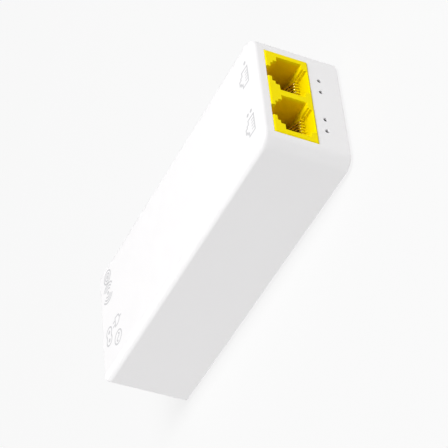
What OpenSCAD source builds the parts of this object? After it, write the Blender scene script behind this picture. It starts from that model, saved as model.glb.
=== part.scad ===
// Slim powerline network adapter: two modular jacks at one end, a mains inlet and a pairing button at the
// other. It lies on its feet: X across, Y from the port face (-Y) to the inlet face (+Y), Z up. Millimetres.

/* [Casing] */
// Length from the port face to the inlet face
case_l = 95; // [94:1:104]
// Width
case_w = 38; // [38:1:44]
// Height without the feet
case_h = 24; // [24:0.5:27]
// Thickness of the walls
wall = 2; // [1.8:0.1:2.2]
// Radius of the upright corners beside the port face
port_corner_r = 4; // [3:0.5:5]
// Radius of the upright corners beside the inlet face
inlet_corner_r = 1.4; // [1.2:0.1:2]
// Radius of the top face's two long edges
side_edge_r = 2; // [1.2:0.1:2]
// Radius of the top face's edge at the port end
port_edge_r = 1.6; // [1:0.1:1.8]
// Radius of the top face's edge at the inlet end
inlet_edge_r = 1; // [0.8:0.1:1.2]
// Height that the rubber feet stand below the casing
foot_proud = 0.6; // [0.5:0.1:0.8]

/* [Ports] */
// Distance between the centres of the two jacks
port_pitch = 13.97; // [13.9:0.01:14.1]
// Width of the jack housing
jack_w = 29.2; // [29:0.1:29.4]
// Height of the jack housing
jack_h = 11.9; // [11.8:0.1:12]
// Depth of the jack housing
jack_d = 17.8; // [17.6:0.1:18]
// Sideways place of the jack housing's middle
jack_x = -0.5; // [-0.6:0.1:-0.4]
// Diameter of the indicator holes
lamp_hole_d = 1.15; // [1:0.05:1.2]
// Distance between the two indicator holes of one port
lamp_gap = 4.06; // [4:0.02:4.1]

/* [Inlet and button] */
// Sideways place of the mains inlet
inlet_x = -6; // [-6:0.1:-5.8]
// Diameter of the inlet's pins
inlet_pin_d = 2.36; // [2.3:0.01:2.4]
// Distance between the inlet's pins
inlet_pin_gap = 8.6; // [8.4:0.1:8.8]
// Sideways place of the pairing button
button_x = 11; // [10.5:0.1:11.5]
// Diameter of the pairing button
button_d = 5; // [4.8:0.1:5.2]
// Travel of the pairing button
button_travel = 0.4; // [0.3:0.1:0.4]

/* [Hidden] */
$fn = 48;

// Heights from the resting plane
base_z = foot_proud;
top_z = base_z + case_h;
board_t = 1.6;
board_top = base_z + 8.8;
board_bottom = board_top - board_t;
cover_t = 2;
cover_top = base_z + cover_t;
ceiling_z = top_z - wall;

// Casing details
port_y = -case_l / 2;
inlet_y = case_l / 2;
lip = wall / 2;
fit_gap = 0.12;
bottom_edge_c = 0.4;
corner_min_r = 0.3;
edge_steps = 8;
rib_t = 1.2;

// Screws that hold the cover, board and casing together
screw_x = 13.2;
screw_ys = [-26, 24];
screw_spots = [for (x = [-screw_x, screw_x], y = screw_ys) [x, y]];
screw_r = 1.1;
screw_head_r = 2.1;
screw_head_h = 1.5;
screw_l = 11.8;
boss_r = 2.5;
pillar_r = 2.7;
foot_r = 3.5;
foot_t = 1.2;
head_seat_z = base_z + 2.2;

// Jack housing, in its own frame: x across, y inward from the casing's end, z up from the board
jack_proud = 0.2;
jack_edge_c = 0.25;
jack_gap = 0.06;
port_xs = [port_pitch / 2, -port_pitch / 2];
cavity_w = 12;
cavity_floor = 1.9;
cavity_roof = 8.8;
cavity_d = 13.4;
recess_w = 7.94;
recess_floor = 0.6;
recess_lip_z = 0.45;
recess_lip_l = 0.3;
recess_shelf_w = 8.6;
recess_shelf_z = 1.3;
latch_steps = [[8.6, 9.9], [6.7, 10.7], [3.7, 12.1]];
latch_d = 11.5;
contact_n = 8;
contact_pitch = 1.02;
contact_w = 0.4;
contact_t = 0.34;
contact_run_z = 0.75;
contact_bend_y = 4.75;
contact_bend_r = 0.6;
contact_rise = 24;
contact_tip = [11.2, 4.95];
contact_xs = [for (i = [0 : contact_n - 1]) (i - (contact_n - 1) / 2) * contact_pitch];
slot_w = 0.52;
slot_floor_y = 4.4;
bed_floor = 0.35;
comb_y = [3.8, 5.05];
tail_ys = [14.3, 16.4];
tail_depth = 2.9;
post_r = 1.55;
post_y = 8.5;
board_hole_gap = 0.06;

// Indicators
lamp_z = base_z + 5.95;
lamp_xs = [for (p = port_xs, s = [-1, 1]) jack_x + p + s * lamp_gap / 2];
guide_y = port_y + wall;
guide_t = 1.2;

// Mains inlet, in its own frame: x across, y inward from its face, z up from its middle
inlet_w = 19.6;
inlet_h = 11.4;
inlet_d = 17;
inlet_flange_w = 21;
inlet_flange_h = 13;
inlet_flange_t = 1.6;
inlet_z = board_top + inlet_flange_h / 2;
socket_r = 4.15;
socket_waist = 6.6;
socket_d = 13.2;
pin_tip_y = 3.5;
pin_shoulder_r = 1.5;
inlet_tail_y = 17.9;

// Pairing button and its switch
button_z = board_top + 4;
button_face_y = inlet_y - 0.15;
button_flange_r = button_d / 2 + 0.8;
button_flange_t = 0.8;
button_flange_y = inlet_y - wall - 0.05;
button_tip_y = button_flange_y - 2.3;
plunger_tip_y = button_tip_y - 0.05;
plunger_r = 1.7;
plunger_l = 1.5;
switch_face_y = plunger_tip_y - plunger_l;
switch_d = 3.5;
switch_s = 6;
switch_lift = 1;
frame_plate_t = 0.3;
switch_pins = [[-2.25, -1.2], [2.25, -1.2]];

// Through-hole parts: centre on the board, and legs from that centre
leg_r = 0.3;
leg_depth = 2.9;
fuse_at = [-5.9, 25.3];
fuse_legs = [[-2.54, 0], [2.54, 0]];
thermistor_at = [5.2, 25];
disc_legs = [[-2.5, 0], [2.5, 0]];
varistor_at = [-5.2, 18.9];
filter_cap_at = [6.3, 18.5];
filter_cap_legs = [[-5, 0], [5, 0]];
choke_at = [-9.5, 9.5];
choke_legs = [for (x = [-4, 4], y = [-2.2, 2.2]) [x, y]];
reservoir_at = [10.8, -0.6];
reservoir_legs = [[-2.5, -1.2], [2.5, -1.2]];
coupling_cap_at = [-13.6, 0.5];
coupling_cap_legs = [[0, -3.75], [0, 3.75]];
transformer_at = [-3.6, -5.5];
transformer_legs = [for (x = [-5 : 2.5 : 5], y = [-5, 5]) [x, y]];
opto_at = [5.6, -6.2];
opto_legs = [for (x = [-1.27, 1.27], y = [-3.81, 3.81]) [x, y]];
bridging_cap_at = [12, -6];
bridging_cap_legs = [[0, -2.5], [0, 2.5]];
output_cap_spots = [[12.4, -13.4], [12.4, -20.2]];
output_cap_legs = [[-1.25, 0], [1.25, 0]];
line_coil_at = [-12.8, -17];
line_coil_legs = [for (x = [-2.5, 2.5], y = [-2.5, 2.5]) [x, y]];

// Surface parts on the board
modem_at = [3.2, -20];
heatsink_size = [11, 13, 7.6];
fin_n = 6;
phy_spots = [[-5.2, -24.3], [-5.2, -17.6]];
crystal_at = [-5.2, -13.6];
bridge_at = [0.8, 12];
controller_at = [1, 5.2];
diode_at = [-13.2, -8.2];
memory_at = [-12.6, -10.2];
flash_at = [5, -12.9];
port_filter_spots = [[-5.2, -21.8], [5.2, -21.8]];
power_coil_at = [10.2, 4];
passive_spots = [for (x = [-8 : 4 : 8]) [x, -28.3]];
primary_passive_spots = [for (x = [-1.5, 1, 3.5]) [x, 8.9]];

// ---------------------------------------------------------------- shared shapes

function arc(cx, cy, r, a0, a1, n = 10) =
    [for (i = [0 : n]) let (a = a0 + (a1 - a0) * i / n) [cx + r * cos(a), cy + r * sin(a)]];

// Outline of the casing seen from above, moved in by an inset
function plan_points(inset) =
    let (
        x = case_w / 2 - inset,
        y = case_l / 2 - inset,
        rp = max(port_corner_r - inset, 0.4),
        ri = max(inlet_corner_r - inset, 0.4)
    )
    concat(
        arc(x - ri, y - ri, ri, 0, 90),
        arc(-x + ri, y - ri, ri, 90, 180),
        arc(-x + rp, -y + rp, rp, 180, 270),
        arc(x - rp, -y + rp, rp, 270, 360)
    );

// Closed outline of a strip of thickness t that follows a flat path
function unit(v) = v / norm(v);
function left_of(v) = [-v[1], v[0]];
function strip_normal(path, i) =
    let (
        before = i > 0 ? unit(path[i] - path[i - 1]) : unit(path[1] - path[0]),
        after = i < len(path) - 1 ? unit(path[i + 1] - path[i]) : before,
        n = unit(left_of(before) + left_of(after))
    )
    n / max(n * left_of(after), 0.5);
function strip_points(path, t) = concat(
    [for (i = [0 : len(path) - 1]) path[i] + strip_normal(path, i) * t / 2],
    [for (i = [len(path) - 1 : -1 : 0]) path[i] - strip_normal(path, i) * t / 2]
);

function moved(at, legs) = [for (leg = legs) [at[0] + leg[0], at[1] + leg[1]]];

module plan(inset, z0, z1) {
    translate([0, 0, z0]) linear_extrude(z1 - z0) polygon(plan_points(inset));
}

// Box centred in x and y, standing on z = 0
module block(size) {
    translate([-size[0] / 2, -size[1] / 2, 0]) cube(size);
}

// Rod along +Y
module rod_y(r, l) {
    rotate([-90, 0, 0]) cylinder(r = r, h = l);
}

// Flat outline in the y-z plane, given a width in x and centred on x = 0
module across(width, points) {
    rotate([90, 0, 90]) translate([0, 0, -width / 2]) linear_extrude(width) polygon(points);
}

// Box with its four upper edges chamfered
module bevelled_block(size, c) {
    intersection() {
        block(size);
        across(size[0], [
            [-size[1] / 2, 0], [size[1] / 2, 0], [size[1] / 2, size[2] - c], [size[1] / 2 - c, size[2]],
            [-size[1] / 2 + c, size[2]], [-size[1] / 2, size[2] - c]
        ]);
        rotate(90) across(size[1], [
            [-size[0] / 2, 0], [size[0] / 2, 0], [size[0] / 2, size[2] - c], [size[0] / 2 - c, size[2]],
            [-size[0] / 2 + c, size[2]], [-size[0] / 2, size[2] - c]
        ]);
    }
}

module legs(spots, r = leg_r, up = 0.4) {
    for (p = spots) translate([p[0], p[1], -leg_depth]) cylinder(r = r, h = leg_depth + up, $fn = 16);
}

module on_board(at = [0, 0]) {
    translate([at[0], at[1], board_top]) children();
}

module under_board(at = [0, 0]) {
    translate([at[0], at[1], board_bottom]) mirror([0, 0, 1]) children();
}

// Moulded chip with bent leads on its two x sides
module leaded_chip(size, lead_n, pitch, reach, lead_w = 0.4) {
    stand = 0.1;
    translate([0, 0, stand]) bevelled_block([size[0], size[1], size[2] - stand], 0.25);
    mid = size[2] * 0.5;
    for (s = [-1, 1], i = [0 : lead_n - 1])
        translate([0, (i - (lead_n - 1) / 2) * pitch, 0])
            rotate(s * 90) across(lead_w, strip_points([
                [size[0] / 2 - 0.2, mid], [size[0] / 2 + reach * 0.35, mid],
                [size[0] / 2 + reach * 0.5, 0.1], [size[0] / 2 + reach, 0.1]
            ], 0.18));
}

// Disc-shaped part that stands on edge on two legs; its face is in the x-z plane
module standing_disc(d, t, spots) {
    translate([0, -t / 2, d / 2 + 1.4]) rotate([-90, 0, 0]) rotate_extrude() polygon(concat(
        [[0, 0]], arc(d / 2 - t * 0.3, t * 0.3, t * 0.3, -90, 0, 5),
        arc(d / 2 - t * 0.3, t * 0.7, t * 0.3, 0, 90, 5), [[0, t]]
    ));
    legs(spots, up = 2.6);
}

// ---------------------------------------------------------------- casing

// How far in a rounded edge of radius r lies at a drop below the top face
function edge_inset(r, drop) = drop < r ? r - sqrt(r * r - (r - drop) * (r - drop)) : 0;

// One corner of a level section of the casing, with its own inset along x and along y
function section_corner(sx, sy, r, inset_x, inset_y, a0) =
    let (cut_r = max(r - max(inset_x, inset_y), corner_min_r))
    arc(
        sx * (case_w / 2 - inset_x - cut_r), sy * (case_l / 2 - inset_y - cut_r), cut_r, a0, a0 + 90
    );

// Level section of the casing at a height, rounded at its corners
function section(z, side_in, port_in, inlet_in) = [
    for (p = concat(
        section_corner(1, 1, inlet_corner_r, side_in, inlet_in, 0),
        section_corner(-1, 1, inlet_corner_r, side_in, inlet_in, 90),
        section_corner(-1, -1, port_corner_r, side_in, port_in, 180),
        section_corner(1, -1, port_corner_r, side_in, port_in, 270)
    )) [p[0], p[1], z]
];

// Solid outer form of the casing, as level sections one above the other
module casing_form() {
    drops = [for (i = [0 : edge_steps]) side_edge_r * (1 - sin(90 * i / edge_steps))];
    c = bottom_edge_c;
    sections = concat(
        [section(base_z, c, c, c), section(base_z + c, 0, 0, 0)],
        [for (d = drops) section(
            top_z - d, edge_inset(side_edge_r, d), edge_inset(port_edge_r, d), edge_inset(inlet_edge_r, d)
        )]
    );
    n = len(sections[0]);
    last = len(sections) - 1;
    polyhedron(
        points = [for (ring = sections, p = ring) p],
        faces = concat(
            [[for (i = [0 : n - 1]) i]],
            [[for (i = [n - 1 : -1 : 0]) last * n + i]],
            [for (k = [0 : last - 1], i = [0 : n - 1], upper = [0, 1]) let (
                a = k * n + i, b = k * n + (i + 1) % n
            ) upper == 1 ? [a, a + n, b + n] : [a, b + n, b]]
        )
    );
}

module casing_boss(at) {
    side = at[0] > 0 ? 1 : -1;
    translate([at[0], at[1], board_top]) cylinder(r = boss_r, h = ceiling_z - board_top + 0.2);
    translate([side > 0 ? at[0] : -case_w / 2 + lip, at[1] - rib_t / 2, board_top + 1])
        cube([case_w / 2 - lip - screw_x, rib_t, ceiling_z - board_top - 0.8]);
}

module top_casing() color("white") difference() {
    union() {
        difference() {
            casing_form();
            plan(wall, base_z - 1, ceiling_z);
            plan(lip, base_z - 1, cover_top);
        }
        for (at = screw_spots) casing_boss(at);
        for (y = [-8, 2, 12])
            translate([-case_w / 2 + lip, y, ceiling_z - 0.8]) cube([case_w - 2 * lip, rib_t, 1]);
    }
    for (at = screw_spots)
        translate([at[0], at[1], board_top - 1]) cylinder(r = screw_r + 0.04, h = 8.2);
    translate([jack_x - jack_w / 2 - jack_gap, port_y - 1, board_top - jack_gap])
        cube([jack_w + 2 * jack_gap, wall + 2, jack_h + 2 * jack_gap]);
    for (x = lamp_xs) translate([x, port_y - 1, lamp_z]) rod_y(lamp_hole_d / 2, wall + 2);
    translate([inlet_x, inlet_y - wall - 1, inlet_z]) rotate([-90, 0, 0])
        linear_extrude(wall + 2) inlet_outline(0.1);
    translate([button_x, inlet_y - wall - 1, button_z]) rod_y(button_d / 2 + 0.15, wall + 2);
}

module bottom_cover() color("white") difference() {
    union() {
        plan(lip + fit_gap, base_z, cover_top);
        for (at = screw_spots)
            translate([at[0], at[1], cover_top - 0.5])
                cylinder(r = pillar_r, h = board_bottom - cover_top + 0.5);
    }
    for (at = screw_spots) translate([at[0], at[1], 0]) {
        cylinder(r = foot_r + 0.1, h = base_z + foot_t - foot_proud);
        cylinder(r = screw_head_r + 0.15, h = head_seat_z);
        cylinder(r = screw_r + 0.25, h = board_top);
    }
}

module cover_screws() color("silver") for (at = screw_spots) translate([at[0], at[1], head_seat_z]) {
    difference() {
        translate([0, 0, -screw_head_h])
            cylinder(r1 = screw_head_r - 0.25, r2 = screw_head_r, h = screw_head_h);
        for (a = [0, 90]) rotate(a) translate([-1.3, -0.25, -screw_head_h - 0.1]) cube([2.6, 0.5, 0.9]);
    }
    cylinder(r = screw_r, h = screw_l - 1.2);
    translate([0, 0, screw_l - 1.2]) cylinder(r1 = screw_r, r2 = 0.3, h = 1.2);
}

module rubber_feet() color("dimgray") for (at = screw_spots) translate([at[0], at[1], 0]) {
    cylinder(r1 = foot_r - 0.3, r2 = foot_r, h = 0.3);
    translate([0, 0, 0.3]) cylinder(r = foot_r, h = foot_t - 0.3);
}

module insulation_sheet() color("lemonchiffon") difference() {
    translate([0, 20.5, cover_top]) block([31.6, 46, 0.3]);
    for (x = [-screw_x, screw_x])
        translate([x, screw_ys[1], 0]) cylinder(r = pillar_r + 0.3, h = board_top);
}

// ---------------------------------------------------------------- circuit board

leg_holes = concat(
    moved(fuse_at, fuse_legs), moved(thermistor_at, disc_legs), moved(varistor_at, disc_legs),
    moved(filter_cap_at, filter_cap_legs), moved(choke_at, choke_legs), moved(reservoir_at, reservoir_legs),
    moved(coupling_cap_at, coupling_cap_legs), moved(transformer_at, transformer_legs),
    moved(opto_at, opto_legs), moved(bridging_cap_at, bridging_cap_legs),
    moved(output_cap_spots[0], output_cap_legs),
    moved(output_cap_spots[1], output_cap_legs), moved(line_coil_at, line_coil_legs),
    moved([button_x, switch_face_y], switch_pins)
);

// Legs of one port's contacts: odd ones in the front row, even ones in the back row
function tail_spots(p) = [for (i = [0 : contact_n - 1])
    [jack_x + port_xs[p] + contact_xs[i], port_y + tail_ys[i % 2]]];
post_spots = [for (s = [-1, 1]) [jack_x + s * (port_pitch / 2 + 4.5), port_y + post_y]];
inlet_tail_spots = [for (s = [-1, 1]) [inlet_x + s * inlet_pin_gap / 2, inlet_y - inlet_tail_y]];

module board_hole(at, r) {
    translate([at[0], at[1], board_bottom - 1]) cylinder(r = r, h = board_t + 2, $fn = 24);
}

module circuit_board() color("darkgreen") difference() {
    plan(wall + 0.3, board_bottom, board_top);
    for (at = screw_spots) board_hole(at, screw_r + 0.2);
    for (at = leg_holes) board_hole(at, leg_r + 0.15);
    for (p = [0, 1], at = tail_spots(p)) board_hole(at, contact_w / 2 + 0.14);
    for (at = post_spots) board_hole(at, post_r + board_hole_gap);
    for (at = inlet_tail_spots) translate([at[0], at[1], board_bottom - 1]) block([1.5, 1.1, board_t + 2]);
    for (at = frame_tab_spots) translate([at[0], at[1], board_bottom - 1]) block([0.6, 1.3, board_t + 2]);
    for (slot = [[transformer_at, 8], [opto_at, 4]])
        translate([slot[0][0], slot[0][1], board_bottom - 1]) block([slot[1], 1, board_t + 2]);
}

// ---------------------------------------------------------------- network jacks

module in_jack() {
    translate([jack_x, port_y, board_top]) children();
}

// Everything that is cut away for one port
module port_cavity() {
    translate([-cavity_w / 2, -1, cavity_floor]) cube([cavity_w, cavity_d + 1, cavity_roof - cavity_floor]);
    for (s = latch_steps)
        translate([-s[0] / 2, -1, cavity_roof - 0.5]) cube([s[0], latch_d + 1, s[1] - cavity_roof + 0.5]);
    across(recess_w, [
        [-1, recess_lip_z], [-jack_proud, recess_lip_z], [recess_lip_l, recess_floor],
        [comb_y[0], recess_floor],
        [comb_y[0], cavity_floor + 0.5], [-1, cavity_floor + 0.5]
    ]);
    translate([-recess_shelf_w / 2, -1, recess_shelf_z]) cube([recess_shelf_w, comb_y[0] + 1, 1]);
    for (x = contact_xs) translate([x - slot_w / 2, 0, 0]) {
        translate([0, comb_y[0] - 0.1, recess_floor]) cube([slot_w, comb_y[1] - comb_y[0] + 0.2, 3]);
        translate([0, slot_floor_y, bed_floor]) cube([slot_w, comb_y[1] - slot_floor_y + 0.1, 3]);
    }
    bed_w = contact_n * contact_pitch + 0.1;
    translate([-bed_w / 2, comb_y[1], bed_floor]) cube([bed_w, jack_d, 3]);
    translate([-cavity_w / 2 - 0.1, cavity_d, -1]) cube([cavity_w + 0.2, jack_d, jack_h - 0.4]);
    translate([-bed_w / 2, comb_y[1] + 0.8, -1]) cube([bed_w, jack_d, 2]);
}

module jack_housing() color("gold") in_jack() {
    front_l = jack_edge_c + 0.3;
    difference() {
        translate([0, -jack_proud, jack_h / 2]) rotate([-90, 0, 0]) {
            translate([0, 0, jack_edge_c]) block([jack_w, jack_h, jack_d + jack_proud - jack_edge_c]);
            mirror([0, 0, 1]) translate([0, 0, -front_l])
                bevelled_block([jack_w, jack_h, front_l], jack_edge_c);
        }
        for (x = port_xs) translate([x, 0, 0]) port_cavity();
    }
    for (s = [-1, 1]) translate([s * (port_pitch / 2 + 4.5), post_y, -tail_depth]) {
        translate([0, 0, 0.4]) cylinder(r = post_r, h = tail_depth);
        cylinder(r1 = post_r - 0.4, r2 = post_r, h = 0.4);
    }
}

// Side view of one contact spring: solder leg, run under the comb, bend, sprung arm
function contact_path(tail_y) = concat(
    [[tail_y, -tail_depth]],
    arc(tail_y - 0.3, contact_run_z - 0.3, 0.3, 0, 90, 3),
    arc(contact_bend_y, contact_run_z + contact_bend_r, contact_bend_r, 270, 90 + contact_rise, 8),
    [contact_tip, contact_tip + [0.5, -0.15]]
);

module port_contacts(p) color("goldenrod") in_jack() translate([port_xs[p], 0, 0])
    for (i = [0 : contact_n - 1]) translate([contact_xs[i], 0, 0])
        across(contact_w, strip_points(contact_path(tail_ys[i % 2]), contact_t));

module contact_carriers() color("black") in_jack() for (x = port_xs) translate([x, 0, 0]) difference() {
    translate([-cavity_w / 2, cavity_d + 0.15, 1.1])
        cube([cavity_w, jack_d - cavity_d - 0.15, jack_h - 2.8]);
    translate([-cavity_w / 2 + 1.5, jack_d - 1.2, 3.5]) cube([cavity_w - 3, 3, 4.4]);
}

// ---------------------------------------------------------------- indicators

module light_guides() color("gainsboro") for (p = port_xs) {
    translate([jack_x + p - 3.1, guide_y, lamp_z - 1.2]) cube([6.2, guide_t, 2.2]);
    for (s = [-1, 1]) translate([jack_x + p + s * lamp_gap / 2, port_y + 0.35, lamp_z])
        rod_y(lamp_hole_d / 2 - 0.03, wall);
}

module port_lamps() color("ivory") for (x = lamp_xs) {
    y = guide_y + guide_t + 0.1;
    translate([x, y + 0.75, lamp_z - 1.1]) block([3, 1.1, 2.2]);
    translate([x, y, lamp_z]) rod_y(0.7, 0.3);
}

// ---------------------------------------------------------------- mains inlet

module in_inlet() {
    translate([inlet_x, inlet_y, inlet_z]) rotate(180) children();
}

module inlet_outline(gap) {
    polygon(concat(
        arc(inlet_w / 2 - 1 + gap, inlet_h / 2 - 1 + gap, 1, 0, 90, 6),
        arc(-inlet_w / 2 + 1 - gap, inlet_h / 2 - 1 + gap, 1, 90, 180, 6),
        arc(-inlet_w / 2 + 1 - gap, -inlet_h / 2 + 1 - gap, 1, 180, 270, 6),
        arc(inlet_w / 2 - 1 + gap, -inlet_h / 2 + 1 - gap, 1, 270, 360, 6)
    ));
}

module inlet_housing() color("whitesmoke") in_inlet() difference() {
    union() {
        rotate([-90, 0, 0]) linear_extrude(inlet_d) inlet_outline(0);
        translate([-inlet_flange_w / 2, wall, -inlet_flange_h / 2])
            cube([inlet_flange_w, inlet_flange_t, inlet_flange_h]);
        translate([-inlet_w / 2, wall + 0.5, -inlet_flange_h / 2]) cube([inlet_w, inlet_d - wall - 0.5, 2]);
    }
    for (s = [-1, 1]) translate([s * inlet_pin_gap / 2, -1, 0]) {
        rod_y(socket_r, socket_d + 1);
        rod_y(pin_shoulder_r + 0.03, inlet_d + 2);
    }
    translate([-inlet_pin_gap / 2, -1, -socket_waist / 2])
        cube([inlet_pin_gap, socket_d + 1, socket_waist]);
}

module inlet_pins() color("silver") in_inlet() for (s = [-1, 1]) translate([s * inlet_pin_gap / 2, 0, 0]) {
    r = inlet_pin_d / 2;
    shoulder_l = socket_d - pin_tip_y;
    whole_l = inlet_d + 0.3 - pin_tip_y;
    tail_l = inlet_flange_h / 2 + tail_depth;
    translate([0, pin_tip_y, 0]) rotate([-90, 0, 0]) rotate_extrude() polygon(concat(
        [[0, 0]], arc(r - 0.6, 0.6, 0.6, -90, 0, 6),
        [[r, shoulder_l], [pin_shoulder_r, shoulder_l], [pin_shoulder_r, whole_l], [0, whole_l]]
    ));
    translate([-0.6, inlet_tail_y - 0.4, -tail_l]) cube([1.2, 0.8, tail_l + 0.8]);
    translate([-0.6, inlet_d, -0.8]) cube([1.2, inlet_tail_y - inlet_d, 1.6]);
}

// ---------------------------------------------------------------- pairing button and switch

module pair_button() color("whitesmoke") {
    r = button_d / 2;
    body_l = button_face_y - button_flange_y;
    whole_l = button_face_y - button_tip_y;
    translate([button_x, button_face_y, button_z]) rotate([90, 0, 0]) rotate_extrude() polygon(concat(
        [[0, 0.25], [r - 1.2, 0.12]], arc(r - 0.35, 0.35, 0.35, -90, 0, 5),
        [[r, body_l], [button_flange_r, body_l], [button_flange_r, body_l + button_flange_t],
        [1.5, body_l + button_flange_t], [1.5, whole_l], [0, whole_l]]
    ));
}

module switch_plunger() color("black")
    translate([button_x, switch_face_y + 0.02, button_z]) rod_y(plunger_r, plunger_l - 0.02);

module switch_body() color("dimgray") {
    translate([button_x - switch_s / 2, switch_face_y - switch_d, board_top + switch_lift])
        cube([switch_s, switch_d - button_travel, switch_s]);
    translate([button_x, switch_face_y, board_top])
        legs(switch_pins, up = 1.5);
}

// Bent steel frame that holds the switch upright: a face plate with a hole, and two legs
frame_side_x = switch_s / 2 + 0.5;
frame_tab_spots = [for (s = [-1, 1]) [button_x + s * frame_side_x, switch_face_y - 1.8]];

module switch_frame() color("silver") {
    difference() {
        translate([button_x, switch_face_y - frame_plate_t / 2, board_top + switch_lift])
            block([2 * frame_side_x + frame_plate_t, frame_plate_t, switch_s]);
        translate([button_x, switch_face_y - 1, button_z]) rod_y(plunger_r + 0.2, 2);
    }
    for (at = frame_tab_spots) translate([at[0], at[1], 0]) {
        translate([0, 0.4, board_top + switch_lift]) block([frame_plate_t, 2.8, 4]);
        translate([0, 0, board_top - leg_depth]) block([frame_plate_t, 1, leg_depth + switch_lift + 0.2]);
    }
}

// ---------------------------------------------------------------- mains side of the board

module fuse() color("sienna") on_board(fuse_at) {
    translate([0, 0, 0.3]) bevelled_block([8.4, 4.2, 7.6], 0.4);
    legs(fuse_legs);
}

module thermistor() color("darkgreen") on_board(thermistor_at) standing_disc(7, 4.2, disc_legs);

module varistor() color("royalblue") on_board(varistor_at) standing_disc(9, 4, disc_legs);

module filter_capacitor() color("khaki") on_board(filter_cap_at) {
    translate([0, 0, 0.3]) bevelled_block([13, 5.5, 10.8], 0.4);
    legs(filter_cap_legs);
}

choke_r = 4.7;
choke_hole_r = 2.4;
choke_t = 4.4;
choke_z = 5.9;
winding_t = 0.7;

module choke_core() color("darkslategray") on_board(choke_at) translate([0, -choke_t / 2, choke_z])
    difference() {
        rod_y(choke_r, choke_t);
        translate([0, -1, 0]) rod_y(choke_hole_r, choke_t + 2);
    }

// A sleeve of wound wire round the left part and the right part of the ring
module choke_windings() color("peru") on_board(choke_at) {
    gap = 0.06;
    inner = choke_hole_r - gap;
    outer = choke_r + gap;
    l = choke_t + 2 * gap;
    for (s = [0, 180]) translate([0, 0, choke_z]) rotate([0, s, 0]) intersection() {
        translate([0, -l / 2 - winding_t, 0]) difference() {
            rod_y(outer + winding_t, l + 2 * winding_t);
            translate([0, -1, 0]) rod_y(inner - winding_t, l + 2 * winding_t + 2);
            translate([0, winding_t, 0]) difference() {
                rod_y(outer, l);
                translate([0, -1, 0]) rod_y(inner, l + 2);
            }
        }
        rotate([90, 0, 0]) translate([0, 0, -choke_r]) linear_extrude(2 * choke_r)
            polygon([[0, 0], [9, -14], [9, 14]]);
    }
    legs(choke_legs, up = 2.8);
}

module bridge_rectifier() color("dimgray") on_board(bridge_at) leaded_chip([4.8, 4, 2.5], 2, 2.54, 1, 0.7);

// Electrolytic can lying on its side along +Y
module reservoir_capacitor() color("midnightblue") on_board(reservoir_at) {
    r = 5;
    l = 16;
    translate([0, 0, r + 0.15]) rotate([-90, 0, 0]) rotate_extrude() polygon(concat(
        [[0, 0.5], [r - 1, 0.5]], arc(r - 0.4, 0.4, 0.4, -90, 0, 4),
        [[r, 1.8], [r - 0.4, 2.2], [r, 2.6]], arc(r - 0.5, l - 0.5, 0.5, 0, 90, 4), [[0, l]]
    ));
    legs(reservoir_legs, up = r + 0.45);
    for (p = reservoir_legs) translate([p[0] - 0.3, p[1] - 0.3, r - 0.15]) cube([0.6, 2.4, 0.6]);
}

module power_controller_chip() color("black") on_board(controller_at)
    leaded_chip([3.9, 4.9, 1.7], 4, 1.27, 1.05);

// Transformer on an upright bobbin: a ferrite E-core pair, its bobbin, the taped windings and the pins
core_size = [13, 6, 9.8];
core_bottom = 2;
core_yoke = 2;
core_leg = 1.7;
core_middle_leg = 3;
coil_z = core_bottom + core_yoke + 0.1;
coil_h = core_size[2] - 2 * core_yoke - 0.2;
coil_w = core_size[0] - 2 * core_leg - 0.3;
coil_l = 12;
flange_t = 0.6;

module transformer_core() color("darkslategray") on_board(transformer_at) translate([0, 0, core_bottom]) {
    difference() {
        bevelled_block(core_size, 0.2);
        translate([0, 0, core_yoke]) block([core_size[0] - 2 * core_leg, 8, core_size[2] - 2 * core_yoke]);
    }
    translate([0, 0, core_yoke - 0.1])
        block([core_middle_leg, core_size[1], core_size[2] - 2 * core_yoke + 0.2]);
}

module coil_bore() {
    block([core_middle_leg + 0.1, core_size[1] + 0.1, core_size[2] + 2]);
}

module transformer_bobbin() color("dimgray") on_board(transformer_at) difference() {
    union() {
        for (z = [coil_z, coil_z + coil_h - flange_t])
            translate([0, 0, z]) block([coil_w, coil_l, flange_t]);
        translate([0, 0, coil_z]) block([core_middle_leg + 1, core_size[1] + 1, coil_h]);
        for (s = [-1, 1]) translate([0, s * (coil_l / 2 - 1), 0.4]) {
            block([12.6, 2, 1.8]);
            block([coil_w - 1, 2, coil_z]);
        }
    }
    coil_bore();
    for (p = transformer_legs) translate([p[0], p[1], 0]) cylinder(r = leg_r, h = 1.9, $fn = 16);
}

module transformer_windings() color("gold") on_board(transformer_at) translate([0, 0, coil_z + flange_t]) {
    h = coil_h - 2 * flange_t;
    r = 1.6;
    x = coil_w / 2 - 0.2;
    y = coil_l / 2 - 0.3;
    difference() {
        linear_extrude(h) polygon(concat(
            arc(x - r, y - r, r, 0, 90, 6), arc(-x + r, y - r, r, 90, 180, 6),
            arc(-x + r, -y + r, r, 180, 270, 6), arc(x - r, -y + r, r, 270, 360, 6)
        ));
        translate([0, 0, -1]) block([core_middle_leg + 1, core_size[1] + 1, coil_h]);
    }
}

module transformer_pins() color("silver") on_board(transformer_at) legs(transformer_legs, up = 1.9);

module optocoupler() color("whitesmoke") on_board(opto_at) {
    translate([0, 0, 0.5]) rotate(90) bevelled_block([6.4, 4.6, 3.2], 0.4);
    legs(opto_legs, up = 2);
    for (p = opto_legs) translate([p[0] - 0.3, p[1] > 0 ? 3 : -4.1, 1.7]) cube([0.6, 1.1, 0.4]);
}

module bridging_capacitor() color("steelblue") on_board(bridging_cap_at) rotate(90)
    standing_disc(7, 3.4, disc_legs);

module coupling_capacitor() color("firebrick") on_board(coupling_cap_at) {
    translate([0, 0, 0.3]) bevelled_block([4, 10, 8], 0.4);
    legs(coupling_cap_legs);
}

// ---------------------------------------------------------------- network side of the board

module output_diode() color("dimgray") on_board(diode_at) leaded_chip([4.2, 2.6, 2.2], 1, 1, 0.5, 1.5);

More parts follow.
